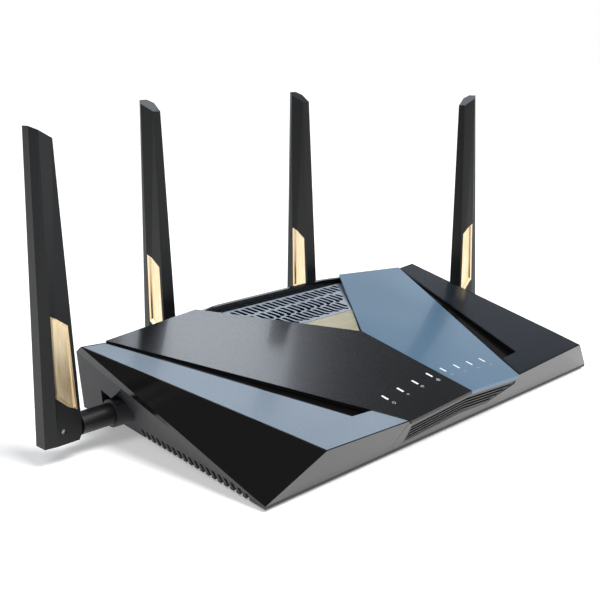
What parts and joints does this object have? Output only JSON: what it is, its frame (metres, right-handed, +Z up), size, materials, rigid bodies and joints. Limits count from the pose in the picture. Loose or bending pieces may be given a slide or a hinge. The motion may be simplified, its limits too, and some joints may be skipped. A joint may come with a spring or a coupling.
{
  "type": "wireless router",
  "caption": "Wide low wireless router with a sloping two-tone top, a V-shaped vent and hinged blade antennas at its sides and back.",
  "frame": {"origin": "centre of the bounding box of the whole router, antennas upright, at the underside of the rubber feet", "axes": "+Z up, +X to the right seen from the front, +Y towards the rear wall with the sockets"},
  "size_m": [0.3882, 0.2101, 0.1843],
  "materials": {
    "tray_plastic": "matt moulded black, fine texture",
    "gloss_case": "polished moulded black",
    "satin_case": "satin black",
    "wing_grey": "blue-grey gloss inlay",
    "wing_dark": "dark blue-black gloss inlay",
    "panel_black": "piano-black gloss",
    "panel_blue": "steel-blue satin gloss",
    "grille_grey": "satin blue-grey paint",
    "brushed_gold": "brushed, gold anodised",
    "gold_trim": "gold anodised lining",
    "clear_light_pipe": "frosted clear acrylic",
    "foot_rubber": "matt rubber",
    "pin_steel": "plated steel",
    "circuit_board": "green solder mask",
    "antenna_board": "green laminate with a copper element",
    "led_white": "moulded LED bodies",
    "heat_sink_aluminium": "extruded, black anodised",
    "tin_shield": "tin-plated sheet",
    "socket_plastic": "moulded sockets",
    "wan_plastic": "moulded blue socket",
    "inlet_plastic": "moulded inlet",
    "button_plastic": "satin caps",
    "reset_red": "satin red cap",
    "brass_connector": "gold-flashed brass",
    "coax_jacket": "black cable jacket",
    "sleeve_plastic": "satin black moulding",
    "blade_plastic": "satin charcoal moulding"
  },
  "bodies": {
    "case": {"lower_case": "tray_plastic", "upper_case": "gloss_case", "front_vent": "satin_case", "wing_left": "wing_grey", "wing_right": "wing_dark", "panel_gloss": "panel_black", "panel_blue": "panel_blue", "grille": "grille_grey", "badge": "brushed_gold", "light_pipes": "clear_light_pipe", "rubber_feet": "foot_rubber", "case_screws": "pin_steel", "main_board": "circuit_board", "status_leds": "led_white", "heat_sink": "heat_sink_aluminium", "shield_cans": "tin_shield", "lan_block": "socket_plastic", "wan_jack": "wan_plastic", "usb_port": "tin_shield", "power_inlet": "inlet_plastic", "switch_frame": "satin_case", "key_switches": "tin_shield", "connector_1": "brass_connector", "connector_2": "brass_connector", "connector_3": "brass_connector", "connector_4": "brass_connector", "lead_1": "coax_jacket", "lead_2": "coax_jacket", "lead_3": "coax_jacket", "lead_4": "coax_jacket"},
    "rocker": {"power_rocker": "satin_case"},
    "wps": {"wps_button": "button_plastic"},
    "wifi": {"wifi_button": "button_plastic"},
    "reset": {"reset_button": "reset_red"},
    "sleeve_1": {"swivel_1": "sleeve_plastic"},
    "antenna_1": {"blade_1": "blade_plastic", "hinge_pin_1": "pin_steel", "gold_insert_1": "gold_trim", "radiator_1": "antenna_board"},
    "sleeve_2": {"swivel_2": "sleeve_plastic"},
    "antenna_2": {"blade_2": "blade_plastic", "hinge_pin_2": "pin_steel", "gold_insert_2": "gold_trim", "radiator_2": "antenna_board"},
    "sleeve_3": {"swivel_3": "sleeve_plastic"},
    "antenna_3": {"blade_3": "blade_plastic", "hinge_pin_3": "pin_steel", "gold_insert_3": "gold_trim", "radiator_3": "antenna_board"},
    "sleeve_4": {"swivel_4": "sleeve_plastic"},
    "antenna_4": {"blade_4": "blade_plastic", "hinge_pin_4": "pin_steel", "gold_insert_4": "gold_trim", "radiator_4": "antenna_board"}
  },
  "joints": [
    {"name": "turn_left_side", "type": "hinge", "parent": "case", "child": "sleeve_1", "pos_m": [-0.1825, 0.03141, 0.0185], "axis": [-1, 0, 0], "range_deg": [-90, 90]},
    {"name": "fold_left_side", "type": "hinge", "parent": "sleeve_1", "child": "antenna_1", "pos_m": [-0.1825, 0.03141, 0.0185], "axis": [0, -1, 0], "range_deg": [0, 90]},
    {"name": "turn_left_rear", "type": "hinge", "parent": "case", "child": "sleeve_2", "pos_m": [-0.0657, 0.09341, 0.0243], "axis": [0, 1, 0], "range_deg": [-90, 45]},
    {"name": "fold_left_rear", "type": "hinge", "parent": "sleeve_2", "child": "antenna_2", "pos_m": [-0.0657, 0.09341, 0.0243], "axis": [-1, 0, 0], "range_deg": [0, 90]},
    {"name": "turn_right_rear", "type": "hinge", "parent": "case", "child": "sleeve_3", "pos_m": [0.0657, 0.09341, 0.0243], "axis": [0, 1, 0], "range_deg": [-45, 90]},
    {"name": "fold_right_rear", "type": "hinge", "parent": "sleeve_3", "child": "antenna_3", "pos_m": [0.0657, 0.09341, 0.0243], "axis": [-1, 0, 0], "range_deg": [0, 90]},
    {"name": "turn_right_side", "type": "hinge", "parent": "case", "child": "sleeve_4", "pos_m": [0.1825, 0.03141, 0.0185], "axis": [1, 0, 0], "range_deg": [-90, 90]},
    {"name": "fold_right_side", "type": "hinge", "parent": "sleeve_4", "child": "antenna_4", "pos_m": [0.1825, 0.03141, 0.0185], "axis": [0, 1, 0], "range_deg": [0, 90]},
    {"name": "power_rock", "type": "hinge", "parent": "case", "child": "rocker", "pos_m": [0.094, 0.05751, 0.018], "axis": [1, 0, 0], "range_deg": [-14, 0]},
    {"name": "press_wps", "type": "slide", "parent": "case", "child": "wps", "axis": [0, -1, 0], "range_m": [0, 0.0008], "stiffness_N_per_m": 1200},
    {"name": "press_wifi", "type": "slide", "parent": "case", "child": "wifi", "axis": [0, -1, 0], "range_m": [0, 0.0008], "stiffness_N_per_m": 1200},
    {"name": "press_reset", "type": "slide", "parent": "case", "child": "reset", "axis": [0, -1, 0], "range_m": [0, 0.0008], "stiffness_N_per_m": 1200}
  ]
}
